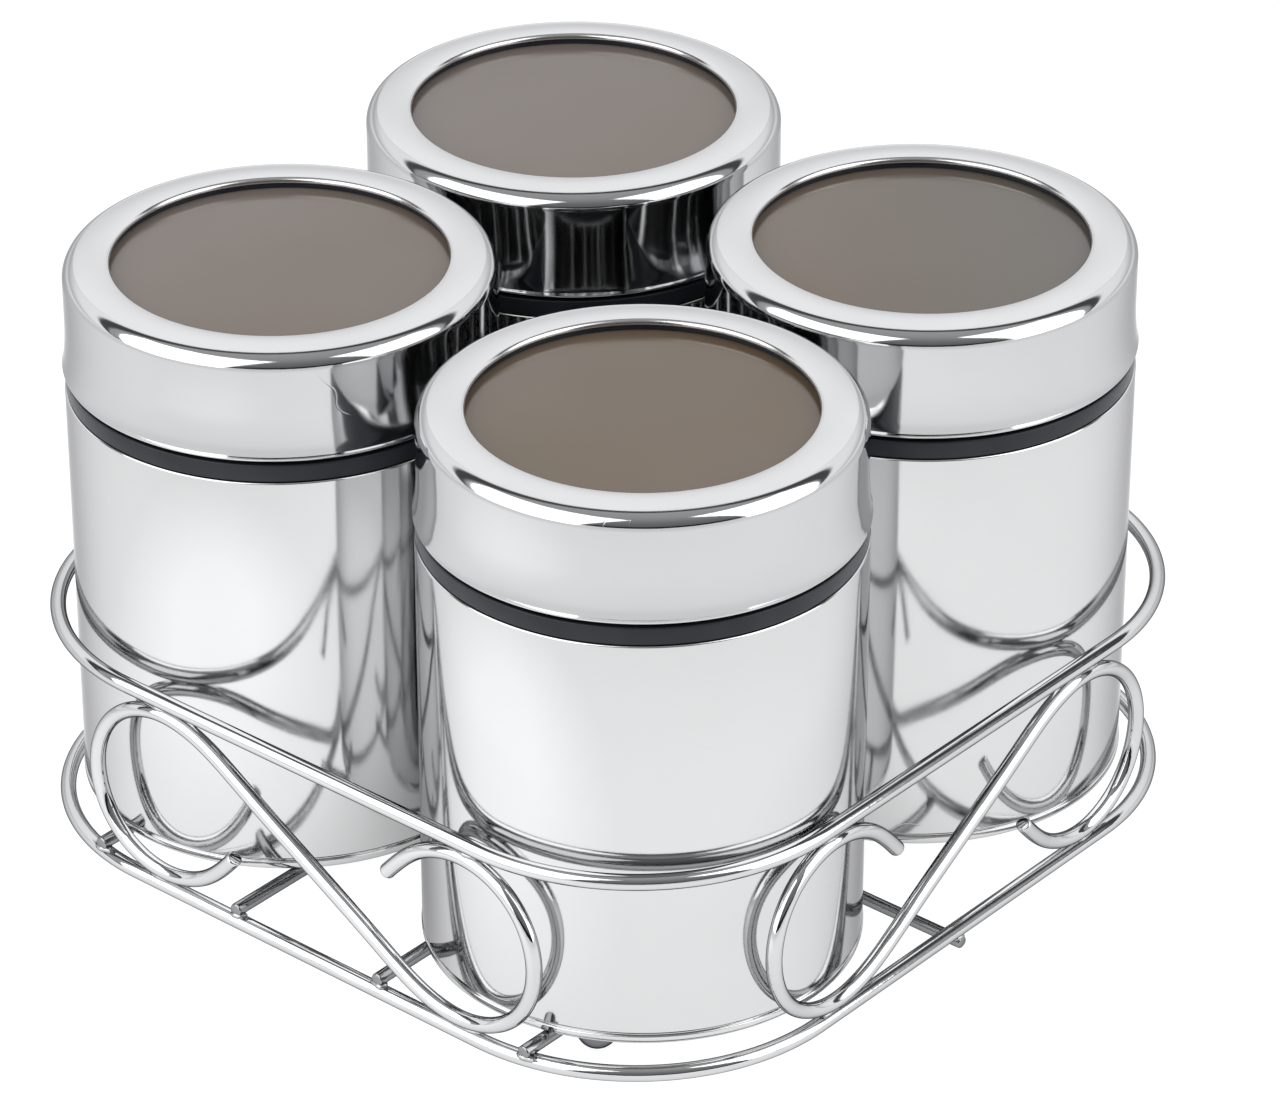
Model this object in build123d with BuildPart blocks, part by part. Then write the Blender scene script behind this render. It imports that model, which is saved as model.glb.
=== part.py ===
# Four-canister spice set: steel canisters with see-through lids in a bent-wire caddy.
# Units mm, +Z up, origin at the centre of the footprint on the table, front face at -Y.
import os
from math import cos, radians, sin
from build123d import *

os.makedirs("parts", exist_ok=True)

# ---- wire caddy ----
WIRE_D = 3.2            # rails and scrolls
CROSS_D = 2.8           # wires the canisters stand on
TIE_D = 2.6             # single wire tying the lower rail across its middle
RAIL_HALF = 91.7        # half side of the rail centre line
RAIL_CORNER = 46.0      # corner radius of the rail centre line
LOW_RAIL_Z = 6.6
RAIL_GAP = 43.1         # height between the two rail centre lines
WELD = 0.15             # how far neighbouring wires sink into each other where welded
CROSS_X = (-54.5, -17.5, 20.0, 57.5)
CROSS_OVERHANG = 0.9    # cross wire ends past the rail centre line
TIE_OVERHANG = 1.3
TIE_Y = -2.5
END_ROUND = 0.5         # rounding of the cut wire ends
FOOT_D = 8.4
FOOT_FLAT = 0.15        # flat worn on the underside of each ball
FOOT_Y = 71.0
SCROLL_SHIFT = 2.4      # scrolls on the front and right sides sit this far toward their shared corner

# one half of an S-scroll, from its middle out to the open end (along the side, up)
SCROLL_HALF = ((18.0, -10.7), (29.5, -16.9), (40.0, -18.45), (52.2, -12.6), (57.4, 0.0),
               (52.6, 12.9), (41.0, 18.4), (29.0, 15.4), (20.2, 7.0))

# ---- canister (heights above its own base) ----
CAN_R = 42.9
CAN_WALL = 0.6
CAN_TOP = 87.6
RIM_R = 42.0            # inside radius of the folded rim
RIM_H = 2.4
RIM_SLOPE = 0.5
RIM_ROUND = 0.35
BASE_R = 43.05
BASE_H = 1.9
BASE_ROUND = 0.9
BASE_RECESS = 1.2       # the floor sits this far above the standing edge
BASE_RIM_W = 3.0
REST_GAP = 0.05         # between a standing canister and the wires under it

# ---- lid (heights above the canister base) ----
LID_WALL = 0.6
LID_R = 42.4
LID_TOP = 114.6         # highest circle of the crowned ring
SHOULDER_R = 3.2        # rounding from the ring down to the skirt
SHOULDER_TILT = 8       # slope in degrees where the ring meets the shoulder
WINDOW_R = 33.1         # clear opening in the ring
ROLL_R = 0.8            # rounding from the ring down into the window
ROLL_TILT = 4           # slope in degrees where the ring meets that rounding
ROLL_DROP = 0.3         # straight edge under the rounding
FLARE_R = 43.3          # the skirt widens to this at its hem
FLARE_START = 98.3
SKIRT_BOTTOM = 92.5
HEM_H = 1.2
LINER_R = 41.7          # liner where it grips the inside of the skirt
LINER_GRIP = 99.0       # lowest height of that grip
LINER_STEP = 0.9        # slope from the plug's radius out to the grip
LINER_TOP = 113.2
LINER_SHOULDER = (1.8, 2.0)    # slope under the shell's shoulder, across and down
BAND_R = 42.65          # black band that shows between skirt and can
BAND_BOTTOM = 87.7
BAND_TOP = 91.4
PLUG_R = 40.8
PLUG_WALL = 1.5
PLUG_BOTTOM = 79.5
PANE_R = 35.6
PANE_T = 1.6
PANE_TOP = 112.2
PANE_ROUND = 0.4
PANE_PLAY = 0.3         # around the pane in its groove
PANE_GAP = 0.05         # over the pane in its groove
LIP_R = 33.6            # inside radius of the groove's upper lip
LEDGE_R = 32.5          # inside radius of the ledge under the pane
LEDGE_T = 1.4
SEAL_R = 41.6
SEAL_Z = 83.0
SEAL_H = 2.8
SEAL_FACE_H = 0.7

# where each canister stands; they are loose in the caddy, so the rows are not perfectly even
SPOTS = {
    "front_left": (-46.2, -44.4),
    "front_right": (46.5, -44.7),
    "back_left": (-46.6, 43.3),
    "back_right": (43.3, 43.5),
}

wire_r = WIRE_D / 2
high_rail_z = LOW_RAIL_Z + RAIL_GAP
mid_z = LOW_RAIL_Z + RAIL_GAP / 2
cross_z = LOW_RAIL_Z + wire_r + CROSS_D / 2 - WELD
tie_z = LOW_RAIL_Z - wire_r - TIE_D / 2 + WELD
base_z = cross_z + CROSS_D / 2 + REST_GAP


# centres of the three arcs that make the section of the lid's ring
shoulder_tilt, roll_tilt = radians(SHOULDER_TILT), radians(ROLL_TILT)
crown_out = LID_R - SHOULDER_R + SHOULDER_R * sin(shoulder_tilt)
crown_in = WINDOW_R + ROLL_R - ROLL_R * sin(roll_tilt)
crown_r = (crown_out - crown_in) / (sin(shoulder_tilt) + sin(roll_tilt))
crown_centre = (crown_out - crown_r * sin(shoulder_tilt), LID_TOP - crown_r)
shoulder_centre = (LID_R - SHOULDER_R, crown_centre[1] + (crown_r - SHOULDER_R) * cos(shoulder_tilt))
roll_centre = (WINDOW_R + ROLL_R, crown_centre[1] + (crown_r - ROLL_R) * cos(roll_tilt))


def ring_arcs(inset):
    """Draw shoulder, crown and roll in one line, inset into the sheet; give its two ends."""
    shoulder = CenterArc(shoulder_centre, SHOULDER_R - inset, 0, 90 - SHOULDER_TILT)
    CenterArc(crown_centre, crown_r - inset, 90 - SHOULDER_TILT, SHOULDER_TILT + ROLL_TILT)
    roll = CenterArc(roll_centre, ROLL_R - inset, 90 + ROLL_TILT, 90 - ROLL_TILT)
    return roll @ 1, shoulder @ 0


def rail_path(z):
    """Rounded-square centre line of a rail, starting in the middle of the front side."""
    h, c = RAIL_HALF, RAIL_HALF - RAIL_CORNER
    with BuildLine() as path:
        Line((0, -h, z), (c, -h, z))
        RadiusArc((c, -h, z), (h, -c, z), -RAIL_CORNER)
        Line((h, -c, z), (h, c, z))
        RadiusArc((h, c, z), (c, h, z), -RAIL_CORNER)
        Line((c, h, z), (-c, h, z))
        RadiusArc((-c, h, z), (-h, c, z), -RAIL_CORNER)
        Line((-h, c, z), (-h, -c, z))
        RadiusArc((-h, -c, z), (-c, -h, z), -RAIL_CORNER)
        Line((-c, -h, z), (0, -h, z))
    return path.wires()[0]


# ---- caddy rails ----
with BuildPart() as top_rail:
    with BuildSketch(Plane((0, -RAIL_HALF, high_rail_z), z_dir=(1, 0, 0))):
        Circle(wire_r)
    sweep(path=rail_path(high_rail_z))
top_rail.part.label = "top_rail"
export_step(top_rail.part, "parts/top_rail.step")

with BuildPart() as bottom_rail:
    with BuildSketch(Plane((0, -RAIL_HALF, LOW_RAIL_Z), z_dir=(1, 0, 0))):
        Circle(wire_r)
    sweep(path=rail_path(LOW_RAIL_Z))
bottom_rail.part.label = "bottom_rail"
export_step(bottom_rail.part, "parts/bottom_rail.step")

# ---- S-scrolls, one between the rails on each side; neighbours are mirror images ----
scroll_points = [(-u, -v) for u, v in reversed(SCROLL_HALF)] + [(0, 0), *SCROLL_HALF]
SCROLL_PLANES = {
    "front": Plane((SCROLL_SHIFT, -RAIL_HALF, mid_z), x_dir=(1, 0, 0), z_dir=(0, -1, 0)),
    "right": Plane((RAIL_HALF, -SCROLL_SHIFT, mid_z), x_dir=(0, -1, 0), z_dir=(-1, 0, 0)),
    "back": Plane((0, RAIL_HALF, mid_z), x_dir=(1, 0, 0), z_dir=(0, -1, 0)),
    "left": Plane((-RAIL_HALF, 0, mid_z), x_dir=(0, -1, 0), z_dir=(-1, 0, 0)),
}
for side, face_plane in SCROLL_PLANES.items():
    with BuildPart() as scroll:
        with BuildLine(face_plane) as scroll_line:
            Spline(*scroll_points)
        start = scroll_line.line @ 0
        heading = scroll_line.line % 0
        with BuildSketch(Plane(start, z_dir=heading)):
            Circle(wire_r)
        sweep(path=scroll_line.line)
    scroll.part.label = f"scroll_{side}"
    export_step(scroll.part, f"parts/scroll_{side}.step")

# ---- wires under the canisters ----
cross_len = 2 * (RAIL_HALF + CROSS_OVERHANG)
for number, x in enumerate(CROSS_X, start=1):
    with BuildPart() as cross_wire:
        with BuildSketch(Plane((x, -cross_len / 2, cross_z), z_dir=(0, 1, 0))):
            Circle(CROSS_D / 2)
        extrude(amount=cross_len)
        fillet(cross_wire.edges().filter_by(GeomType.CIRCLE), END_ROUND)
    cross_wire.part.label = f"cross_wire_{number}"
    export_step(cross_wire.part, f"parts/cross_wire_{number}.step")

tie_len = 2 * (RAIL_HALF + TIE_OVERHANG)
with BuildPart() as tie_wire:
    with BuildSketch(Plane((-tie_len / 2, TIE_Y, tie_z), z_dir=(1, 0, 0))):
        Circle(TIE_D / 2)
    extrude(amount=tie_len)
    fillet(tie_wire.edges().filter_by(GeomType.CIRCLE), END_ROUND)
tie_wire.part.label = "tie_wire"
export_step(tie_wire.part, "parts/tie_wire.step")

# ---- ball feet under the two outer cross wires ----
FOOT_SPOTS = {
    "front_left": (CROSS_X[0], -FOOT_Y),
    "front_right": (CROSS_X[3], -FOOT_Y),
    "back_left": (CROSS_X[0], FOOT_Y),
    "back_right": (CROSS_X[3], FOOT_Y),
}
for spot, (x, y) in FOOT_SPOTS.items():
    with BuildPart() as foot:
        with Locations((x, y, FOOT_D / 2 - FOOT_FLAT)):
            Sphere(FOOT_D / 2)
        split(bisect_by=Plane.XY, keep=Keep.TOP)
    foot.part.label = f"foot_{spot}"
    export_step(foot.part, f"parts/foot_{spot}.step")

# ---- canisters and lids ----
for spot, (x, y) in SPOTS.items():
    axis_plane = Plane((x, y, base_z), x_dir=(1, 0, 0), z_dir=(0, -1, 0))
    turn_axis = Axis((x, y, 0), (0, 0, 1))

    # thin drawn tube with a folded rim
    with BuildPart() as can_body:
        with BuildSketch(axis_plane):
            with BuildLine():
                Polyline((CAN_R - CAN_WALL, BASE_H), (CAN_R, BASE_H), (CAN_R, CAN_TOP),
                         (RIM_R, CAN_TOP), (RIM_R, CAN_TOP - RIM_H),
                         (CAN_R - CAN_WALL, CAN_TOP - RIM_H - RIM_SLOPE), close=True)
            make_face()
        revolve(axis=turn_axis)
        fillet(can_body.edges().sort_by(Axis.Z)[-2:], RIM_ROUND)
    can_body.part.label = f"can_body_{spot}"
    export_step(can_body.part, f"parts/can_body_{spot}.step")

    # seamed-on base: standing edge, rounded outside, floor raised inside it
    with BuildPart() as can_base:
        with BuildSketch(axis_plane):
            with BuildLine():
                inner, corner = BASE_R - BASE_RIM_W, BASE_R - BASE_ROUND
                Polyline((0, BASE_RECESS), (inner - BASE_RECESS, BASE_RECESS), (inner, 0), (corner, 0))
                RadiusArc((corner, 0), (BASE_R, BASE_ROUND), -BASE_ROUND)
                Polyline((BASE_R, BASE_ROUND), (BASE_R, BASE_H), (0, BASE_H), (0, BASE_RECESS))
            make_face()
        revolve(axis=turn_axis)
    can_base.part.label = f"can_base_{spot}"
    export_step(can_base.part, f"parts/can_base_{spot}.step")

    # pressed steel lid shell: crowned ring, rounded shoulder, skirt flaring at the hem
    with BuildPart() as lid_shell:
        with BuildSketch(axis_plane):
            with BuildLine():
                outer_end, outer_start = ring_arcs(0)
                inner_end, inner_start = ring_arcs(LID_WALL)
                edge_z = roll_centre[1] - ROLL_DROP
                Polyline(outer_end, (WINDOW_R, edge_z), (WINDOW_R + LID_WALL, edge_z), inner_end)
                w, hem_z = LID_WALL, SKIRT_BOTTOM + HEM_H
                Polyline(outer_start, (LID_R, FLARE_START), (FLARE_R, hem_z), (FLARE_R, SKIRT_BOTTOM),
                         (FLARE_R - w, SKIRT_BOTTOM), (FLARE_R - w, hem_z), (LID_R - w, FLARE_START),
                         inner_start)
            make_face()
        revolve(axis=turn_axis)
    lid_shell.part.label = f"lid_shell_{spot}"
    export_step(lid_shell.part, f"parts/lid_shell_{spot}.step")

    # see-through pane, recessed under the ring
    with BuildPart() as lid_window:
        with BuildSketch(Plane((x, y, base_z + PANE_TOP - PANE_T))):
            Circle(PANE_R)
        extrude(amount=PANE_T)
        fillet(lid_window.edges().filter_by(GeomType.CIRCLE), PANE_ROUND)
    lid_window.part.label = f"lid_window_{spot}"
    export_step(lid_window.part, f"parts/lid_window_{spot}.step")

    # black moulded liner in two parts: the plug, which the skirt grips and which shows as the band ...
    ledge_z, lip_z = PANE_TOP - PANE_T, PANE_TOP + PANE_GAP
    groove_z = ledge_z - LEDGE_T
    with BuildPart() as lid_liner:
        with BuildSketch(axis_plane):
            with BuildLine():
                Polyline((PLUG_R - PLUG_WALL, PLUG_BOTTOM), (PLUG_R, PLUG_BOTTOM),
                         (PLUG_R, BAND_BOTTOM), (BAND_R, BAND_BOTTOM), (BAND_R, BAND_TOP),
                         (PLUG_R, BAND_TOP), (PLUG_R, LINER_GRIP - LINER_STEP), (LINER_R, LINER_GRIP),
                         (LINER_R, groove_z), (PLUG_R - PLUG_WALL, groove_z), close=True)
            make_face()
        revolve(axis=turn_axis)
    lid_liner.part.label = f"lid_liner_{spot}"
    export_step(lid_liner.part, f"parts/lid_liner_{spot}.step")

    # ... and the grooved ring on top of it that holds the pane
    with BuildPart() as lid_groove:
        with BuildSketch(axis_plane):
            with BuildLine():
                slope_x, slope_z = LINER_SHOULDER
                Polyline((LEDGE_R, groove_z), (LINER_R, groove_z), (LINER_R, LINER_TOP - slope_z),
                         (LINER_R - slope_x, LINER_TOP), (LIP_R, LINER_TOP), (LIP_R, lip_z),
                         (PANE_R + PANE_PLAY, lip_z), (PANE_R + PANE_PLAY, ledge_z), (LEDGE_R, ledge_z),
                         close=True)
            make_face()
        revolve(axis=turn_axis)
    lid_groove.part.label = f"lid_groove_{spot}"
    export_step(lid_groove.part, f"parts/lid_groove_{spot}.step")

    # soft sealing lip around the plug
    with BuildPart() as seal_ring:
        with BuildSketch(axis_plane):
            with BuildLine():
                Polyline((PLUG_R, SEAL_Z - SEAL_H / 2), (SEAL_R, SEAL_Z - SEAL_FACE_H / 2),
                         (SEAL_R, SEAL_Z + SEAL_FACE_H / 2), (PLUG_R, SEAL_Z + SEAL_H / 2), close=True)
            make_face()
        revolve(axis=turn_axis)
    seal_ring.part.label = f"seal_ring_{spot}"
    export_step(seal_ring.part, f"parts/seal_ring_{spot}.step")
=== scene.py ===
"""Looks for the four-canister spice set in a wire caddy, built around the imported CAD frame."""

import math

import bmesh
import bpy
import numpy as np
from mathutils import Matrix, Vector


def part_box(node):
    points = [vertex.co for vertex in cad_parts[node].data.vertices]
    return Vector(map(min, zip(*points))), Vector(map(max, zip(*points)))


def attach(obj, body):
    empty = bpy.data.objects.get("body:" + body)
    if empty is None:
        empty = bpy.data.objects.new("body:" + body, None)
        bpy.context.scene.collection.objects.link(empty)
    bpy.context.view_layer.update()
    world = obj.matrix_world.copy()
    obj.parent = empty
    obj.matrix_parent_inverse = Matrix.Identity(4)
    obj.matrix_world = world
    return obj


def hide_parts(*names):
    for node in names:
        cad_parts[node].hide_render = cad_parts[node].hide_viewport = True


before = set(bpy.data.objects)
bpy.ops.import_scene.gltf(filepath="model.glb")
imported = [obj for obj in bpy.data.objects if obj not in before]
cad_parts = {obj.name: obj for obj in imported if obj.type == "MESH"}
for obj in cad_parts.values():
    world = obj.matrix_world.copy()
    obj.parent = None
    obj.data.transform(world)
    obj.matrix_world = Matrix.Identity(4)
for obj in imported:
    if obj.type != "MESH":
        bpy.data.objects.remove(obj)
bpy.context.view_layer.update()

MM = 0.001
TAU = 2 * math.pi
SPOTS = ("front_left", "front_right", "back_left", "back_right")

# ---- sizes in mm, as the CAD has them ----
WIRE_R = 1.6
CROSS_R = 1.4
TIE_R = 1.3
RAIL_HALF = 91.7           # from the middle of the caddy to the centre line of a rail
RAIL_CORNER = 46.0
LOW_RAIL_Z = 6.6
HIGH_RAIL_Z = 49.7
MID_Z = (LOW_RAIL_Z + HIGH_RAIL_Z) / 2
FOOT_R = 4.2
FOOT_FLAT = 0.15
SCROLL_SHIFT = 2.4         # the front and right scrolls stand this far off the middle of their sides
SCROLL_HALF = ((18.0, -10.7), (29.5, -16.9), (40.0, -18.45), (52.2, -12.6), (57.4, 0.0),
               (52.6, 12.9), (41.0, 18.4), (29.0, 15.4), (20.2, 7.0))
CAN_R = 42.9
CAN_INSIDE_R = 42.3
CAN_TOP = 87.6
BASE_R = 43.05
BASE_TOP = 1.9             # the can wall starts here
LID_R = 42.4
LID_TOP = 114.6
LID_WALL = 0.6
HEM_Z = 92.5
SHOULDER_R = 3.2
SHOULDER_TILT = math.radians(8)
WINDOW_R = 33.1
ROLL_R = 0.8
ROLL_TILT = math.radians(4)
ROLL_DROP = 0.3
PANE_R = 35.6
PLUG_R = 40.8
PLUG_FOOT = 79.5


# ------------------------------------------------------------------ geometry helpers

def node_centre(node):
    """Middle of a CAD node's box, in mm."""
    low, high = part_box(node)
    return (Vector(low) + Vector(high)) / 2 / MM


def node_low(node):
    """Lowest height of a CAD node, in mm."""
    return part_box(node)[0][2] / MM


def rounded(corners, steps=5):
    """Turn (x, y) or (x, y, radius) corners into a line whose corners are true arcs."""
    line = []
    for index, corner in enumerate(corners):
        point = Vector(corner[:2])
        radius = corner[2] if len(corner) > 2 else 0
        if radius <= 0 or index in (0, len(corners) - 1):
            line.append(tuple(point))
            continue
        back = Vector(corners[index - 1][:2]) - point
        ahead = Vector(corners[index + 1][:2]) - point
        half_turn = back.angle(ahead) / 2
        if half_turn > math.radians(89):          # nearly straight, so there is no corner to round
            line.append(tuple(point))
            continue
        cut = min(radius / math.tan(half_turn), back.length * 0.49, ahead.length * 0.49)
        radius = cut * math.tan(half_turn)
        back.normalize()
        ahead.normalize()
        centre = point + (back + ahead).normalized() * (radius / math.sin(half_turn))
        start = point + back * cut - centre
        end = point + ahead * cut - centre
        sweep = start.angle(end)
        for k in range(steps + 1):
            t = k / steps
            spin = (math.sin((1 - t) * sweep) * start + math.sin(t * sweep) * end) / math.sin(sweep)
            line.append(tuple(centre + spin))
    return line


def arc(centre, radius, start, end, steps=8):
    """Points along a circular arc, with angles in degrees from the +x direction."""
    angles = [math.radians(start + (end - start) * k / steps) for k in range(steps + 1)]
    return [(centre[0] + radius * math.cos(a), centre[1] + radius * math.sin(a)) for a in angles]


def finish_mesh(name, verts, faces, uvs, slots, materials, sharp=40):
    """Make an object from mesh data in mm; uvs and slots are per face."""
    mesh = bpy.data.meshes.new(name)
    mesh.from_pydata([tuple(c * MM for c in v) for v in verts], [], faces)
    layer = mesh.uv_layers.new(name="wrap")
    flat = [c * MM for face_uv in uvs for pair in face_uv for c in pair]
    layer.data.foreach_set("uv", flat)
    for material in materials:
        mesh.materials.append(material)
    mesh.polygons.foreach_set("material_index", slots)
    mesh.polygons.foreach_set("use_smooth", [True] * len(faces))
    mesh.update()
    mesh.set_sharp_from_angle(angle=math.radians(sharp))
    mesh.validate()
    piece = bpy.data.objects.new(name, mesh)
    bpy.context.scene.collection.objects.link(piece)
    return piece


def lathe(name, line, centre, materials, slot_of=None, segments=144, sharp=40):
    """Turn a closed outline of (radius, height) round a vertical axis at centre = (x, y, z).

    slot_of gives the material of the face between two outline points, from its step, radius and height.
    """
    cx, cy, cz = centre
    count = len(line)
    verts, rings = [], []
    for k in range(count):
        r, h = line[k]
        if r < 1e-6:
            rings.append([len(verts)] * segments)
            verts.append((cx, cy, cz + h))
            continue
        ring = []
        for s in range(segments):
            a = TAU * s / segments
            ring.append(len(verts))
            verts.append((cx + r * math.cos(a), cy + r * math.sin(a), cz + h))
        rings.append(ring)
    along = [0.0]
    for k in range(count):
        a, b = line[k], line[(k + 1) % count]
        along.append(along[-1] + math.dist(a, b))
    faces, uvs, slots = [], [], []
    for k in range(count):
        n = (k + 1) % count
        if line[k][0] < 1e-6 and line[n][0] < 1e-6:
            continue
        widest = max(line[k][0], line[n][0])
        slot = slot_of(k, (line[k][0] + line[n][0]) / 2, (line[k][1] + line[n][1]) / 2) if slot_of else 0
        for s in range(segments):
            t = (s + 1) % segments
            u0, u1 = TAU * s / segments * widest, TAU * (s + 1) / segments * widest
            quad = [(rings[k][s], (u0, along[k])), (rings[k][t], (u1, along[k])),
                    (rings[n][t], (u1, along[k + 1])), (rings[n][s], (u0, along[k + 1]))]
            kept = []
            for vert, uv in quad:
                if vert not in [v for v, _ in kept]:
                    kept.append((vert, uv))
            faces.append([v for v, _ in kept])
            uvs.append([uv for _, uv in kept])
            slots.append(slot)
    return finish_mesh(name, verts, faces, uvs, slots, materials, sharp)


def tube(name, path, radius, materials, closed=False, sides=20, end_round=0.45, shape=None, sharp=50):
    """Sweep a round section along a path of points in mm; open ends get a small rounded edge."""
    points = [Vector(p) for p in path]
    total = len(points)
    tangents = []
    for i in range(total):
        if closed:
            tangents.append((points[(i + 1) % total] - points[i - 1]).normalized())
        else:
            tangents.append((points[min(i + 1, total - 1)] - points[max(i - 1, 0)]).normalized())
    up = Vector((0, 0, 1)) if abs(tangents[0].z) < 0.9 else Vector((1, 0, 0))
    stations = []
    side = tangents[0].cross(up).normalized()
    for i in range(total):
        side = (side - tangents[i] * side.dot(tangents[i])).normalized()
        stations.append([points[i], side.copy(), side.cross(tangents[i]), 1.0])
    if not closed:
        caps, cap_rows = [], 4
        for k in range(1, cap_rows + 1):
            a = math.pi / 2 * k / cap_rows
            caps.append((end_round * math.sin(a), 1 - end_round * (1 - math.cos(a)) / radius))
        head, tail = stations[0], stations[-1]
        front = [[head[0] - tangents[0] * (off - end_round), head[1], head[2], sc] for off, sc in caps]
        rear = [[tail[0] + tangents[-1] * (off - end_round), tail[1], tail[2], sc] for off, sc in caps]
        stations[0] = [head[0] + tangents[0] * end_round, head[1], head[2], 1.0]
        stations[-1] = [tail[0] - tangents[-1] * end_round, tail[1], tail[2], 1.0]
        stations = front[::-1] + stations + rear
    verts, along, travelled = [], [], 0.0
    for i, (p, u, v, scale) in enumerate(stations):
        if i:
            travelled += (p - stations[i - 1][0]).length
        along.append(travelled)
        wide, tall = (1.0, 1.0) if shape is None else shape(i / (len(stations) - 1))
        for s in range(sides):
            a = TAU * s / sides
            offset = u * (math.cos(a) * wide) + v * (math.sin(a) * tall)
            verts.append(p + offset * (radius * scale))
    faces, uvs = [], []
    rows = len(stations)
    for i in range(rows if closed else rows - 1):
        n = (i + 1) % rows
        length = along[n] if n else travelled + (stations[0][0] - stations[-1][0]).length
        for s in range(sides):
            t = (s + 1) % sides
            faces.append([i * sides + s, i * sides + t, n * sides + t, n * sides + s])
            w0, w1 = TAU * s / sides * radius, TAU * (s + 1) / sides * radius
            uvs.append([(w0, along[i]), (w1, along[i]), (w1, length), (w0, length)])
    if not closed:
        for row, flip in ((0, False), (rows - 1, True)):
            loop = [row * sides + s for s in range(sides)]
            faces.append(loop if flip else loop[::-1])
            uvs.append([(0.0, 0.0)] * sides)
    return finish_mesh(name, verts, faces, uvs, [0] * len(faces), materials, sharp)


def place(piece, body, slot, *nodes):
    """Tie a piece to its body and hide the CAD nodes that it stands for; slot is not used."""
    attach(piece, body)
    if nodes:
        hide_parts(*nodes)
    return piece


# ------------------------------------------------------------------ materials

EVEN = (1, 1, 1)                         # texture space that isn't stretched
PAINTED_DARK_EDGE_TINT = (0.12, 0.12, 0.13, 1.0)      # painted dark edges: the bright wire's reflection darkened at a glancing angle
PAINTED_GREY_EDGE_TINT = (0.50, 0.50, 0.51, 1.0)     # painted reflection: the polished sheet's reflection greyed at a glancing angle, for the grey can edges where the neighbours reflect
# Smoke tints of the panes; the drift between them across the set is painted reflection.
COOL_SMOKE_AND_PAINTED_REFLECTION = (0.246, 0.204, 0.182)
WARM_SMOKE_AND_PAINTED_REFLECTION = (0.170, 0.120, 0.074)
GREY_PAINTED_REFLECTION = (0.160, 0.142, 0.125)


class Shader:
    """A small helper round one Principled material."""

    def __init__(self, name, **sockets):
        self.material = bpy.data.materials.new(name)
        self.material.use_nodes = True
        self.tree = self.material.node_tree
        self.bsdf = self.tree.nodes["Principled BSDF"]
        for socket, value in sockets.items():
            self.bsdf.inputs[socket.replace("_", " ")].default_value = value
        self.coords = self.tree.nodes.new("ShaderNodeTexCoord")

    def add(self, kind, **settings):
        """A new node; each setting is one of its properties or, failing that, one of its sockets."""
        node = self.tree.nodes.new("ShaderNode" + kind)
        for key, value in settings.items():
            if hasattr(node, key):
                setattr(node, key, value)
            else:
                node.inputs[key.replace("_", " ")].default_value = value
        return node

    def link(self, source, target):
        self.tree.links.new(source, target)

    def stretched(self, space, scale):
        """Coordinates of a space (Object or UV), scaled per axis."""
        mapping = self.add("Mapping")
        mapping.inputs["Scale"].default_value = scale
        self.link(self.coords.outputs[space], mapping.inputs["Vector"])
        return mapping.outputs["Vector"]

    def noise(self, vector, scale, detail, roughness=0.5):
        node = self.add("TexNoise", Scale=scale, Detail=detail, Roughness=roughness)
        self.link(vector, node.inputs["Vector"])
        return node.outputs["Fac"]

    def ranged(self, value, low, high, start=0.0, end=1.0):
        """A value that runs from start to end, turned into one that runs from low to high."""
        node = self.add("MapRange")
        for socket, number in (("From Min", start), ("From Max", end), ("To Min", low), ("To Max", high)):
            node.inputs[socket].default_value = number
        self.link(value, node.inputs["Value"])
        return node.outputs["Result"]

    def ramp(self, value, stops):
        node = self.add("ValToRGB")
        elements = node.color_ramp.elements
        for index, (position, colour) in enumerate(stops):
            element = elements[index] if index < 2 else elements.new(position)
            element.position = position
            element.color = (*colour, 1.0)
        self.link(value, node.inputs["Fac"])
        return node.outputs["Color"]

    def mixed(self, factor, first, colour):
        """Blend a colour socket towards one plain colour."""
        node = self.add("Mix", data_type="RGBA")
        self.link(factor, node.inputs["Factor"])
        self.link(first, node.inputs[6])
        node.inputs[7].default_value = (*colour, 1.0)
        return node.outputs[2]

    def along(self, direction):
        """How far a point lies from the origin along a direction, in metres."""
        node = self.add("VectorMath", operation="DOT_PRODUCT")
        node.inputs[1].default_value = direction
        self.link(self.coords.outputs["Object"], node.inputs[0])
        return node.outputs["Value"]

    def total(self, first, second, operation="ADD"):
        """First combined with second, a socket or a plain number."""
        node = self.add("Math", operation=operation)
        self.link(first, node.inputs[0])
        if isinstance(second, (int, float)):
            node.inputs[1].default_value = second
        else:
            self.link(second, node.inputs[1])
        return node.outputs[0]

    def bump(self, height, strength, distance):
        node = self.add("Bump", Strength=strength, Distance=distance)
        self.link(height, node.inputs["Height"])
        self.link(node.outputs["Normal"], self.bsdf.inputs["Normal"])

    def to(self, socket, value):
        self.link(value, self.bsdf.inputs[socket])

    def mottled(self, tone, darkest, scale, detail, start, end):
        """Let the base colour drift in soft clouds between the tone and a slightly darker one."""
        clouds = self.noise(self.stretched("Object", EVEN), scale, detail)
        self.to("Base Color", self.ramp(clouds, ((start, [c * darkest for c in tone]), (end, tone))))


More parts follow.
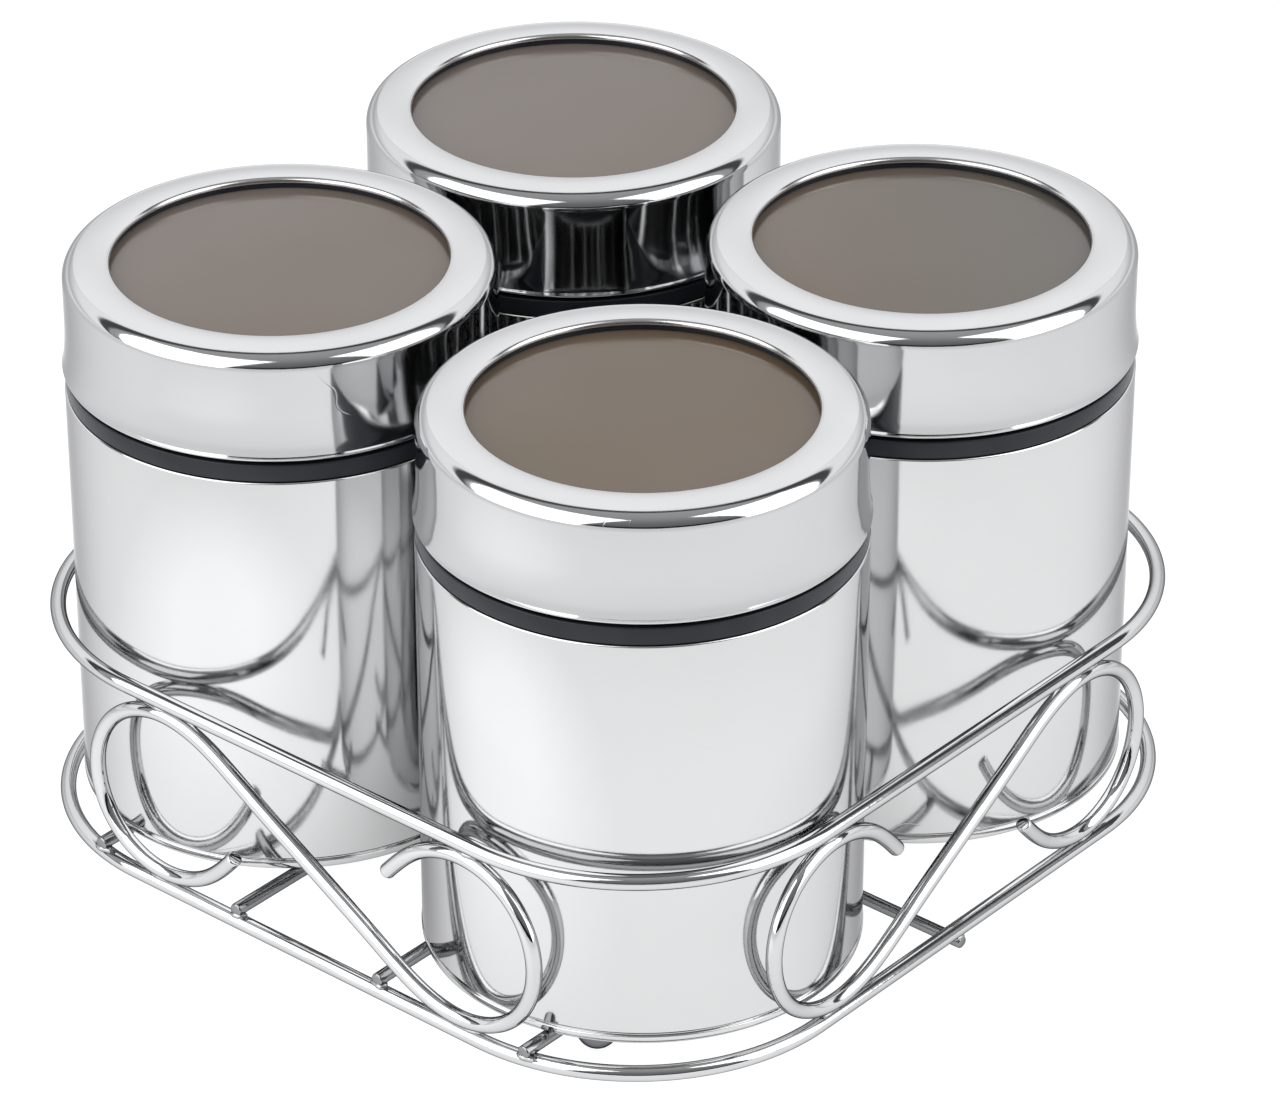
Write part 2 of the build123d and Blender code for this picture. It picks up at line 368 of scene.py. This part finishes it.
def polished_steel(name, tone, rough_low, rough_high, dents=0.00035):
    """Mirror-polished sheet: rolling waves, hairline polish marks, finger haze and a few curved scratches."""
    look = Shader(name, Metallic=1.0, Specular_Tint=PAINTED_GREY_EDGE_TINT)
    look.mottled(tone, darkest=0.965, scale=22, detail=4, start=0.35, end=0.65)

    contour = look.total(look.noise(look.stretched("Object", EVEN), scale=60, detail=1), 0.5, "SUBTRACT")
    curve = look.ranged(look.total(contour, 0, "ABSOLUTE"), 1.0, 0.0, 0.0, 0.004)
    rare = look.ranged(look.noise(look.stretched("Object", EVEN), scale=35, detail=2), 0.0, 1.0, 0.62, 0.68)
    scratch = look.total(curve, rare, "MULTIPLY")

    haze = look.noise(look.stretched("Object", (1, 1, 1.4)), scale=38, detail=5, roughness=0.6)
    hair = look.noise(look.stretched("UV", (300, 9000, 1)), scale=1, detail=2, roughness=0.7)
    wear = look.total(look.ranged(haze, 0.0, 0.75, 0.3, 0.75), look.ranged(hair, 0.0, 0.25, 0.3, 0.7))
    dulled = look.total(scratch, 0.17, "MULTIPLY")
    look.to("Roughness", look.total(look.ranged(wear, rough_low, rough_high), dulled))

    waves = look.noise(look.stretched("Object", (1, 1, 0.35)), scale=26, detail=1)
    lines = look.noise(look.stretched("UV", (160, 12000, 1)), scale=1, detail=2)
    surface = look.total(waves, look.total(lines, 0.004, "MULTIPLY"))
    grooves = look.total(scratch, 0.02, "MULTIPLY")
    look.bump(look.total(surface, grooves, "SUBTRACT"), strength=1.0, distance=dents)
    return look.material


def satin_steel(name, tone):
    """Spun satin finish: fine concentric lines that follow the turning."""
    look = Shader(name, Metallic=1.0)
    look.mottled(tone, darkest=0.96, scale=30, detail=3, start=0.3, end=0.7)
    rings = look.noise(look.stretched("UV", (20, 14000, 1)), scale=1, detail=3, roughness=0.65)
    cloud = look.noise(look.stretched("Object", EVEN), scale=55, detail=4, roughness=0.6)
    look.to("Roughness", look.ranged(look.total(rings, cloud), 0.11, 0.21, 0.7, 1.3))
    look.bump(rings, strength=0.2, distance=0.00002)
    return look.material


def chrome(name, tone, rough_low, rough_high, pits=0.00002):
    """Bright plate over drawn wire: faint draw lines and a few dull specks."""
    look = Shader(name, Metallic=1.0, Specular_Tint=PAINTED_DARK_EDGE_TINT)
    look.mottled(tone, darkest=0.95, scale=60, detail=3, start=0.3, end=0.7)
    specks = look.noise(look.stretched("Object", EVEN), scale=420, detail=4, roughness=0.6)
    look.to("Roughness", look.ranged(specks, rough_low, rough_high, 0.45, 0.8))
    lines = look.noise(look.stretched("UV", (2600, 60, 1)), scale=1, detail=2)
    look.bump(look.total(lines, specks), strength=0.5, distance=pits)
    return look.material


def moulded(name, low, high, roughness, grain):
    """Fine-grained moulded plastic or rubber."""
    look = Shader(name, Specular_IOR_Level=0.28)
    clouds = look.noise(look.stretched("Object", EVEN), scale=90, detail=3)
    look.to("Base Color", look.ramp(clouds, ((0.3, low), (0.7, high))))
    fine = look.noise(look.stretched("Object", EVEN), scale=2600, detail=3, roughness=0.6)
    look.to("Roughness", look.ranged(fine, roughness - 0.06, roughness + 0.08, 0.3, 0.7))
    look.bump(fine, strength=0.35, distance=grain)
    return look.material


def smoky_pane(name):
    """Smoke-tinted clear plastic: smoke tint with a painted reflection drifting from cool to warm and to grey
    across the set, random blotches, faint haze and wipe marks.
    """
    look = Shader(name, IOR=1.49, Transmission_Weight=0.35)
    blotches = look.noise(look.stretched("Object", EVEN), scale=16, detail=2)
    # Painted reflection: warm at the nearest lid, cool at the farthest, along a fixed direction, with random
    # blotches on top.
    painted_reflection_drift_and_blotches = look.total(look.ranged(look.along((0.694, -0.198, 0)), 0.0, 1.0, -0.050, 0.045),
                        look.ranged(blotches, -0.15, 0.15, 0.3, 0.7))
    tint = look.ramp(painted_reflection_drift_and_blotches, ((0.0, COOL_SMOKE_AND_PAINTED_REFLECTION), (1.0, WARM_SMOKE_AND_PAINTED_REFLECTION)))
    # Painted reflection: greyer towards one side of the set.
    painted_reflection_greyness = look.ranged(look.along((0.762, 0.648, 0)), 0.0, 1.0, 0.035, 0.095)
    look.to("Base Color", look.mixed(painted_reflection_greyness, tint, GREY_PAINTED_REFLECTION))
    haze = look.noise(look.stretched("Object", EVEN), scale=45, detail=5, roughness=0.65)
    look.to("Roughness", look.ranged(haze, 0.14, 0.24, 0.35, 0.75))
    ripples = look.noise(look.stretched("Object", EVEN), scale=30, detail=1)
    look.bump(ripples, strength=0.3, distance=0.0001)
    return look.material


BODY_STEEL = polished_steel("body_steel", (0.648, 0.651, 0.654), 0.05, 0.13)
# Painted shade: the lid skirts are the body steel made a little darker, to darken the wells between the
# canisters.
SHADED_SKIRT_STEEL = polished_steel("shaded_skirt_steel", (0.605, 0.61, 0.615), 0.05, 0.12)
INNER_STEEL = polished_steel("inner_steel", (0.88, 0.88, 0.88), 0.24, 0.42)
RING_STEEL = satin_steel("ring_steel", (0.66, 0.66, 0.665))
WIRE_CHROME = chrome("wire_chrome", (0.62, 0.625, 0.63), 0.03, 0.10)
# Painted shade: the cross wires and the tie wire, which run under the canisters, are the rail chrome made
# much darker.
SHADED_CROSS_CHROME = chrome("shaded_cross_chrome", (0.28, 0.285, 0.29), 0.08, 0.20)
WELD_METAL = chrome("weld_metal", (0.42, 0.42, 0.42), 0.12, 0.30, 0.00012)
FOOT_METAL = chrome("foot_metal", (0.20, 0.205, 0.215), 0.22, 0.40, 0.00008)
BAND_PLASTIC = moulded("band_plastic", (0.010, 0.012, 0.016), (0.017, 0.020, 0.026), 0.36, 0.00003)
SEAL_RUBBER = moulded("seal_rubber", (0.014, 0.014, 0.014), (0.026, 0.025, 0.024), 0.6, 0.00005)
PANE_PLASTIC = smoky_pane("pane_plastic")


# ------------------------------------------------------------------ canisters

def can_outline():
    """Drawn tube: crease above the base, straight wall, rim folded inwards."""
    crease_r, fold_r = 42.62, 42.0
    return rounded([
        (CAN_INSIDE_R, BASE_TOP), (crease_r, BASE_TOP), (crease_r, 2.25, 0.15), (CAN_R, 2.6, 0.3),
        (CAN_R, 30), (CAN_R, 58), (CAN_R, CAN_TOP, 0.35), (fold_r, CAN_TOP, 0.35), (fold_r, 85.2, 0.3),
        (CAN_INSIDE_R, 84.8, 0.2), (CAN_INSIDE_R, 55), (CAN_INSIDE_R, 28), (CAN_INSIDE_R, BASE_TOP)])[:-1]


def base_outline():
    """Standing edge with a rolled outer corner, a step, and a floor raised inside it."""
    underside, floor_top, step_z, joint_r = 1.2, 1.8, 0.75, 42.2
    return rounded([
        (0, underside), (20, underside), (34.5, underside, 0.6), (35.3, step_z, 0.5), (38.4, step_z, 0.5),
        (39.6, 0.0, 0.8), (BASE_R, 0.0, 0.95), (BASE_R, BASE_TOP, 0.28), (joint_r, BASE_TOP, 0.1),
        (joint_r, floor_top), (20, floor_top), (0, floor_top)])


ROLL_STEPS, CROWN_STEPS, SHOULDER_STEPS, SATIN_SHOULDER_STEPS = 8, 8, 20, 2
RING_STEPS = ROLL_STEPS + CROWN_STEPS + SATIN_SHOULDER_STEPS


def ring_section(inset):
    """Arcs of the roll into the window, the crowned ring and the shoulder, inset into the sheet."""
    crown_out = LID_R - SHOULDER_R + SHOULDER_R * math.sin(SHOULDER_TILT)
    crown_in = WINDOW_R + ROLL_R - ROLL_R * math.sin(ROLL_TILT)
    crown_r = (crown_out - crown_in) / (math.sin(SHOULDER_TILT) + math.sin(ROLL_TILT))
    crown = (crown_out - crown_r * math.sin(SHOULDER_TILT), LID_TOP - crown_r)
    shoulder = (LID_R - SHOULDER_R, crown[1] + (crown_r - SHOULDER_R) * math.cos(SHOULDER_TILT))
    roll = (WINDOW_R + ROLL_R, crown[1] + (crown_r - ROLL_R) * math.cos(ROLL_TILT))
    out, across = 90 - math.degrees(SHOULDER_TILT), 90 + math.degrees(ROLL_TILT)
    return (arc(roll, ROLL_R - inset, 180, across, ROLL_STEPS)
            + arc(crown, crown_r - inset, across, out, CROWN_STEPS)[1:]
            + arc(shoulder, SHOULDER_R - inset, out, 0, SHOULDER_STEPS)[1:])


def lid_outline():
    """Pressed shell: roll down to the window, crowned ring, shoulder, flaring skirt with a beaded hem."""
    outside, inside = ring_section(0), ring_section(LID_WALL)
    edge_z = outside[0][1] - ROLL_DROP
    inside_r, hem_inside_r = LID_R - LID_WALL, 42.7
    flare_out, flare_top, flare_drop, steps = 0.45, 102, 7.6, 6
    flare = [(LID_R + flare_out * (k / steps) ** 2, flare_top - flare_drop * k / steps)
             for k in range(steps + 1)]
    hem = rounded([flare[-1], (43.05, 93.4, 2.5), (43.22, 92.8, 0.3), (43.1, HEM_Z, 0.12),
                   (hem_inside_r, HEM_Z)], 6)
    skirt = [outside[-1], (LID_R, 106)] + flare + hem[1:]
    lining = rounded([(hem_inside_r, HEM_Z), (hem_inside_r, 94.0, 1), (inside_r, 98.3, 4), (inside_r, 105),
                      inside[-1]])
    edge = rounded([inside[0], (WINDOW_R + LID_WALL, edge_z, 0.15), (WINDOW_R, edge_z, 0.15), outside[0]])
    return outside + skirt[1:], lining[1:-1] + inside[::-1] + edge[1:-1]


def pane_outline():
    """Slightly crowned pane with an eased edge."""
    underside = 110.62
    return rounded([(0, underside), (30, underside), (PANE_R, underside, 0.35), (PANE_R, 112.1, 0.35),
                    (33, 112.14), (22, 112.17), (11, 112.19), (0, 112.2)])


def liner_outline():
    """Moulding that holds the pane in a groove, shows as the black band and plugs the can."""
    tube_inside_r, band_r, upper_r = 39.3, 42.65, 41.7
    band_low, band_high = 87.7, 91.4
    lip_r, lip_low, lip_top = 33.6, 112.25, 113.2
    groove_r, ledge_r, ledge_low, ledge_top = 35.9, 32.5, 109.2, 110.6
    return rounded([
        (tube_inside_r, PLUG_FOOT, 0.3), (PLUG_R, PLUG_FOOT, 0.3), (PLUG_R, band_low, 0.25),
        (band_r, band_low, 0.35), (band_r, band_high, 0.35), (PLUG_R, band_high, 0.3), (PLUG_R, 98.1, 0.3),
        (upper_r, 99.0, 0.3), (upper_r, 111.2, 0.3), (39.9, lip_top, 0.4), (lip_r, lip_top, 0.2),
        (lip_r, lip_low), (groove_r, lip_low), (groove_r, ledge_top), (ledge_r, ledge_top, 0.3),
        (ledge_r, ledge_low, 0.4), (tube_inside_r, ledge_low, 1.2), (tube_inside_r, PLUG_FOOT)])[:-1]


def seal_outline():
    """Soft lip with two sealing edges."""
    return rounded([(PLUG_R, 81.6), (41.2, 81.7, 0.2), (41.6, 82.7, 0.2), (41.6, 82.95, 0.2),
                    (41.2, 83.1, 0.1), (41.55, 83.5, 0.2), (41.5, 83.9, 0.2), (PLUG_R, 84.4)])


def make_canister(spot):
    """All pieces of one canister and its lid, on the axis and base of the CAD nodes."""
    axis = node_centre(f"can_body_{spot}")
    ground = node_low(f"can_base_{spot}")
    at = (axis.x, axis.y, ground)
    can, lid = f"canister_{spot}", f"lid_{spot}"

    shell = lathe(f"can_wall_{spot}", can_outline(), at, [BODY_STEEL, INNER_STEEL],
                  lambda step, r, h: 0 if r > CAN_INSIDE_R + 0.05 or h > 85 else 1, segments=192)
    place(shell, can, "can_steel", f"can_body_{spot}")
    base = lathe(f"can_bottom_{spot}", base_outline(), at, [BODY_STEEL, INNER_STEEL],
                 lambda step, r, h: 0 if r > CAN_INSIDE_R else 1, segments=192)
    place(base, can, "base_steel", f"can_base_{spot}")

    outside, inside = lid_outline()
    cap = lathe(f"lid_cap_{spot}", outside + inside, at, [RING_STEEL, SHADED_SKIRT_STEEL, INNER_STEEL],
                lambda step, r, h: 0 if step < RING_STEPS else 1 if step < len(outside) else 2,
                segments=192)
    place(cap, lid, "lid_steel", f"lid_shell_{spot}")
    pane = lathe(f"lid_pane_{spot}", pane_outline(), at, [PANE_PLASTIC], segments=96)
    place(pane, lid, "window_pane", f"lid_window_{spot}")
    liner = lathe(f"lid_plug_{spot}", liner_outline(), at, [BAND_PLASTIC])
    place(liner, lid, "liner_plastic", f"lid_liner_{spot}", f"lid_groove_{spot}")
    seal = lathe(f"lid_seal_{spot}", seal_outline(), at, [SEAL_RUBBER])
    place(seal, lid, "seal_rubber", f"seal_ring_{spot}")


# ------------------------------------------------------------------ caddy

SIDE_PLACES = {      # from (distance along a side, height) to a point on its centre line
    "front": lambda u, z: (SCROLL_SHIFT + u, -RAIL_HALF, z),
    "right": lambda u, z: (RAIL_HALF, -SCROLL_SHIFT - u, z),
    "back": lambda u, z: (u, RAIL_HALF, z),
    "left": lambda u, z: (-RAIL_HALF, -u, z),
}


def rail_points(z, run_step=6.0, bend_step=1.6):
    """Rounded-square centre line at height z."""
    straight = RAIL_HALF - RAIL_CORNER
    runs = int(2 * straight / run_step)
    bends = int(RAIL_CORNER * math.pi / 2 / bend_step)
    side = [(-straight + 2 * straight * k / runs, -RAIL_HALF) for k in range(runs)]
    for k in range(bends):
        a = -math.pi / 2 + math.pi / 2 * k / bends
        side.append((straight + RAIL_CORNER * math.cos(a), -straight + RAIL_CORNER * math.sin(a)))
    points = []
    for quarter in range(4):
        turn = quarter * math.pi / 2
        cos_q, sin_q = round(math.cos(turn)), round(math.sin(turn))
        points += [(x * cos_q - y * sin_q, x * sin_q + y * cos_q, z) for x, y in side]
    return points


def smooth_line(knots, step=1.0):
    """Natural cubic spline through 2-D knots, spaced by chord length."""
    knots = np.array(knots, float)
    spans = np.hypot(*np.diff(knots, axis=0).T)
    t = np.concatenate([[0], np.cumsum(spans)])
    n = len(t)
    system, right = np.zeros((n, n)), np.zeros((n, 2))
    system[0, 0] = system[-1, -1] = 1
    for i in range(1, n - 1):
        before, after = spans[i - 1], spans[i]
        system[i, i - 1:i + 2] = before, 2 * (before + after), after
        right[i] = 6 * ((knots[i + 1] - knots[i]) / after - (knots[i] - knots[i - 1]) / before)
    bend = np.linalg.solve(system, right)
    line = []
    for s in np.linspace(0, t[-1], int(t[-1] / step)):
        i = min(int(np.searchsorted(t, s, side="right")) - 1, n - 2)
        h, a, b = spans[i], t[i + 1] - s, s - t[i]
        point = (bend[i] * a ** 3 + bend[i + 1] * b ** 3) / (6 * h)
        point += (knots[i] / h - bend[i] * h / 6) * a + (knots[i + 1] / h - bend[i + 1] * h / 6) * b
        line.append(point)
    return line


def make_rails():
    for node, z in (("top_rail", HIGH_RAIL_Z), ("bottom_rail", LOW_RAIL_Z)):
        rail = tube(f"{node}_wire", rail_points(z), WIRE_R, [WIRE_CHROME], closed=True, sides=24)
        place(rail, "caddy", "rail_wire", node)


def make_scrolls():
    """One S-scroll a side: the half scroll, and the same turned round the middle."""
    knots = [(-u, -v) for u, v in reversed(SCROLL_HALF)] + [(0, 0)] + list(SCROLL_HALF)
    line = smooth_line(knots)
    for side, to_space in SIDE_PLACES.items():
        path = [to_space(u, MID_Z + v) for u, v in line]
        scroll = tube(f"scroll_{side}_wire", path, WIRE_R, [WIRE_CHROME], sides=24)
        place(scroll, "caddy", "scroll_wire", f"scroll_{side}")


def make_bar(node, name, axis, radius, steps=70):
    """A straight wire along X (axis 0) or Y (axis 1), from end to end of its CAD node."""
    def pressed(t):
        """Ends spread and flatten a little where they were welded down."""
        near = max(0.0, 1 - min(t, 1 - t) / 0.03)
        return 1 + 0.16 * near, 1 - 0.10 * near

    low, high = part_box(node)
    start, end = low[axis] / MM, high[axis] / MM
    path = []
    for k in range(steps + 1):
        point = node_centre(node)
        point[axis] = start + (end - start) * k / steps
        path.append(point)
    bar = tube(name, path, radius, [SHADED_CROSS_CHROME], shape=pressed)
    place(bar, "caddy", "cross_wire", node)


def make_cross_wires():
    for number in range(1, 5):
        make_bar(f"cross_wire_{number}", f"cross_wire_{number}_bar", 1, CROSS_R)
    make_bar("tie_wire", "tie_bar", 0, TIE_R)


def make_feet():
    flat_edge = -math.degrees(math.acos(math.sqrt(FOOT_R ** 2 - (FOOT_R - FOOT_FLAT) ** 2) / FOOT_R))
    outline = [(0, 0)] + arc((0, FOOT_R - FOOT_FLAT), FOOT_R, flat_edge, 90, 28)
    for spot in SPOTS:
        middle = node_centre(f"foot_{spot}")
        at = (middle.x, middle.y, 0)
        foot = lathe(f"foot_ball_{spot}", outline, at, [FOOT_METAL], segments=48, sharp=60)
        place(foot, "caddy", "foot_ball", f"foot_{spot}")


def weld_spots():
    """Middle and reach, in mm, of every bead in the crevices where wires, rails and feet meet."""
    length, width, thick = 3.4, 1.15, 0.8
    touches = ((-41, LOW_RAIL_Z, 1), (40, LOW_RAIL_Z, 1), (-40, HIGH_RAIL_Z, -1), (41, HIGH_RAIL_Z, -1))
    beads = []
    for side, to_space in SIDE_PLACES.items():
        reach = (length, width, thick) if side in ("front", "back") else (width, length, thick)
        beads += [(to_space(along, rail_z + lean * WIRE_R), reach) for along, rail_z, lean in touches]
    for number in range(1, 5):
        x = node_centre(f"cross_wire_{number}").x
        beads += [((x, y, LOW_RAIL_Z + WIRE_R), (2.0, 1.25, thick)) for y in (-RAIL_HALF, RAIL_HALF)]
    tie_y = node_centre("tie_wire").y
    beads += [((x, tie_y, LOW_RAIL_Z - WIRE_R), (1.25, 2.0, thick)) for x in (-RAIL_HALF, RAIL_HALF)]
    foot_top = 2 * FOOT_R - FOOT_FLAT
    for spot in SPOTS:
        foot = node_centre(f"foot_{spot}")
        beads.append(((foot.x, foot.y, foot_top - 0.15), (1.7, 1.7, thick)))
    return beads


def make_welds():
    """Small uneven beads of weld metal, joined into one piece."""
    rows, columns = 9, 16
    verts, faces, uvs = [], [], []
    for number, (middle, reach) in enumerate(weld_spots()):
        first = len(verts)
        for i in range(rows + 1):
            tilt = math.pi * i / rows
            for k in range(columns):
                a = TAU * k / columns
                lump = 1 + 0.10 * math.sin(3 * a + 2.1 * number) * math.sin(tilt)
                lump += 0.07 * math.sin(5 * a + number)
                ring = math.sin(tilt) * lump
                verts.append((middle[0] + reach[0] * ring * math.cos(a),
                              middle[1] + reach[1] * ring * math.sin(a),
                              middle[2] + reach[2] * math.cos(tilt)))
        for i in range(rows):
            for k in range(columns):
                n = (k + 1) % columns
                quad = [first + i * columns + k, first + (i + 1) * columns + k,
                        first + (i + 1) * columns + n, first + i * columns + n]
                faces.append(quad)
                uvs.append([(k, i), (k, i + 1), (k + 1, i + 1), (k + 1, i)])
    welds = finish_mesh("weld_beads", verts, faces, uvs, [0] * len(faces), [WELD_METAL])
    # The points that meet at the top and the bottom of each bead become one.
    merge = bmesh.new()
    merge.from_mesh(welds.data)
    bmesh.ops.remove_doubles(merge, verts=merge.verts, dist=0.000005)
    merge.to_mesh(welds.data)
    merge.free()
    place(welds, "caddy", "rail_wire")


make_rails()
make_scrolls()
make_cross_wires()
make_feet()
make_welds()
for spot in SPOTS:
    make_canister(spot)


# ------------------------------------------------------------------ studio

CAMERA_AZIMUTH, CAMERA_ELEVATION = 40.36, 30.15       # degrees
CAMERA_TARGET = Vector((0.0054, 0.0018, 0.0571))
CAMERA_DISTANCE = 1.18774
LENS_MM = 166.8
LENS_SHIFT = 0.003

FLOOR_REACH = 6.0
FLOOR_GLOW = 0.95
MIRRORED_DEPTH = 0.0002    # the floor that only reflections see lies this far under the other
# Rings of floor light: (distance from the middle in metres, brightness).
FLOOR_RINGS = ((0.0, 1.0), (0.30, 1.0), (1.0, 0.92))
MIRRORED_RINGS = ((0.0, 0.16), (0.045, 0.22), (0.075, 0.60), (0.105, 0.90), (0.19, 0.98), (0.34, 0.88),
                  (0.52, 0.70), (1.0, 0.70))
PAPER_TINT = (1.0, 1.0, 1.005)
# A brighter pool of light on the floor, to the left of the camera; degrees, then metres.
POOL_TURN, POOL_DISTANCE = 47, 0.197
POOL_BRIGHT, POOL_AROUND, POOL_INNER, POOL_OUTER = 1.14, 0.945, 0.05, 0.14

# Brightness of the room along the half turn from the backdrop, over the top, to behind the camera.
ROOM_RAMP = ((0.0, 1.25), (0.045, 1.20), (0.075, 0.78), (0.11, 0.90), (0.145, 1.08), (0.17, 1.20),
             (0.29, 1.25), (0.315, 0.08), (0.38, 0.08), (0.41, 0.48), (0.60, 0.42), (0.80, 0.24),
             (0.93, 0.17), (0.95, 0.02), (1.0, 0.02))
ROOM_TINT = (1.0, 1.005, 1.015)
BACKDROP_SEEN = (0.95, 0.95, 0.96, 1)
SOFTBOX_ELEVATION, SOFTBOX_DISTANCE, SOFTBOX_RADIANCE = 33, 0.95, 2.2


def heading(azimuth, elevation=0.0):
    """Unit direction from the object; azimuth 0 is -Y and 90 is +X, in degrees."""
    a, e = math.radians(azimuth), math.radians(elevation)
    return Vector((math.sin(a) * math.cos(e), -math.cos(a) * math.cos(e), math.sin(e)))


def make_floor(name, height, brightness_rings):
    """A wide sheet of paper that gives off some light of its own."""
    mesh = bpy.data.meshes.new(name)
    corners = ((-FLOOR_REACH, -FLOOR_REACH), (FLOOR_REACH, -FLOOR_REACH),
               (FLOOR_REACH, FLOOR_REACH), (-FLOOR_REACH, FLOOR_REACH))
    mesh.from_pydata([(x, y, height) for x, y in corners], [], [(0, 1, 2, 3)])
    floor = bpy.data.objects.new(name, mesh)
    bpy.context.scene.collection.objects.link(floor)
    paper = Shader(f"{name}_paper", Roughness=0.9, Emission_Strength=FLOOR_GLOW)
    fibres = paper.noise(paper.stretched("Object", EVEN), scale=3, detail=2)
    paper.to("Base Color", paper.ramp(fibres, ((0.3, (0.24, 0.24, 0.24)), (0.7, (0.26, 0.26, 0.26)))))

    def away_from(point):
        node = paper.add("VectorMath", operation="DISTANCE")
        node.inputs[1].default_value = point
        paper.link(paper.coords.outputs["Object"], node.inputs[0])
        return node.outputs["Value"]

    tones = [(r, tuple(brightness * c for c in PAPER_TINT)) for r, brightness in brightness_rings]
    rings = paper.ramp(away_from((0, 0, 0)), tones)
    pool_middle = heading(CAMERA_AZIMUTH - POOL_TURN) * POOL_DISTANCE
    pool = paper.ranged(away_from(pool_middle), POOL_BRIGHT, POOL_AROUND, POOL_INNER, POOL_OUTER)
    lit = paper.add("VectorMath", operation="SCALE")
    paper.link(rings, lit.inputs[0])
    paper.link(pool, lit.inputs["Scale"])
    paper.to("Emission Color", lit.outputs["Vector"])
    mesh.materials.append(paper.material)
    return floor


def make_stage():
    """A pale floor, and just under it the shaded one that the metal shows in its reflections."""
    floor = make_floor("floor", 0.0, FLOOR_RINGS)
    floor.visible_glossy = False
    mirrored = make_floor("floor_in_metal", -MIRRORED_DEPTH, MIRRORED_RINGS)
    for kind in ("camera", "diffuse", "transmission", "shadow"):
        setattr(mirrored, f"visible_{kind}", False)


def make_world():
    """A studio room: bright backdrop opposite the camera, dark gap overhead, dim room behind the camera."""
    world = bpy.data.worlds.new("studio")
    bpy.context.scene.world = world
    world.use_nodes = True
    tree = world.node_tree

    def joined(kind, first, second, operation):
        node = tree.nodes.new("ShaderNode" + kind)
        node.operation = operation
        tree.links.new(first, node.inputs[0])
        if isinstance(second, (float, Vector)):
            node.inputs[1].default_value = second
        else:
            tree.links.new(second, node.inputs[1])
        return node.outputs["Value"]

    direction = tree.nodes.new("ShaderNodeTexCoord").outputs["Generated"]
    away = joined("VectorMath", direction, -heading(CAMERA_AZIMUTH), "DOT_PRODUCT")
    up = joined("VectorMath", direction, Vector((0, 0, 1)), "DOT_PRODUCT")
    turn = joined("Math", up, away, "ARCTAN2")
    share = joined("Math", turn, math.pi, "DIVIDE")
    ramp = tree.nodes.new("ShaderNodeValToRGB")
    for index, (position, brightness) in enumerate(ROOM_RAMP):
        element = ramp.color_ramp.elements[index] if index < 2 else ramp.color_ramp.elements.new(position)
        element.position = position
        element.color = (*(brightness * c for c in ROOM_TINT), 1)
    tree.links.new(share, ramp.inputs["Fac"])
    room = tree.nodes["Background"]
    tree.links.new(ramp.outputs["Color"], room.inputs["Color"])
    room.inputs["Strength"].default_value = 1.0
    pale = tree.nodes.new("ShaderNodeBackground")
    pale.inputs["Color"].default_value = BACKDROP_SEEN
    seen = tree.nodes.new("ShaderNodeMixShader")
    tree.links.new(tree.nodes.new("ShaderNodeLightPath").outputs["Is Camera Ray"], seen.inputs[0])
    tree.links.new(room.outputs["Background"], seen.inputs[1])
    tree.links.new(pale.outputs["Background"], seen.inputs[2])
    tree.links.new(seen.outputs["Shader"], tree.nodes["World Output"].inputs["Surface"])


def softbox(name, azimuth, size):
    """A one-sided glowing panel that faces the object; size is its width and height in metres."""
    light = bpy.data.lights.new(name, "AREA")
    light.shape = "RECTANGLE"
    light.size, light.size_y = size
    light.energy = SOFTBOX_RADIANCE * math.pi * size[0] * size[1]
    lamp = bpy.data.objects.new(name, light)
    back = heading(azimuth, SOFTBOX_ELEVATION)
    lamp.location = back * SOFTBOX_DISTANCE
    lamp.rotation_mode = "QUATERNION"
    lamp.rotation_quaternion = (-back).to_track_quat("-Z", "Y")
    lamp.visible_camera = False
    bpy.context.scene.collection.objects.link(lamp)


def make_camera():
    """A long lens at the height and side from which the set is shown."""
    back = heading(CAMERA_AZIMUTH, CAMERA_ELEVATION)
    optics = bpy.data.cameras.new("camera")
    optics.sensor_width = 36.0
    optics.lens = LENS_MM
    optics.shift_x = LENS_SHIFT
    optics.clip_end = 50
    camera = bpy.data.objects.new("camera", optics)
    camera.location = CAMERA_TARGET + back * CAMERA_DISTANCE
    camera.rotation_mode = "QUATERNION"
    camera.rotation_quaternion = (-back).to_track_quat("-Z", "Y")
    bpy.context.scene.collection.objects.link(camera)
    bpy.context.scene.camera = camera


make_stage()
make_world()
softbox("left_box", CAMERA_AZIMUTH - 54.5, (1.08, 1.15))
softbox("right_box", CAMERA_AZIMUTH + 66.5, (0.75, 1.15))
make_camera()
bpy.context.scene.view_settings.view_transform = "Standard"
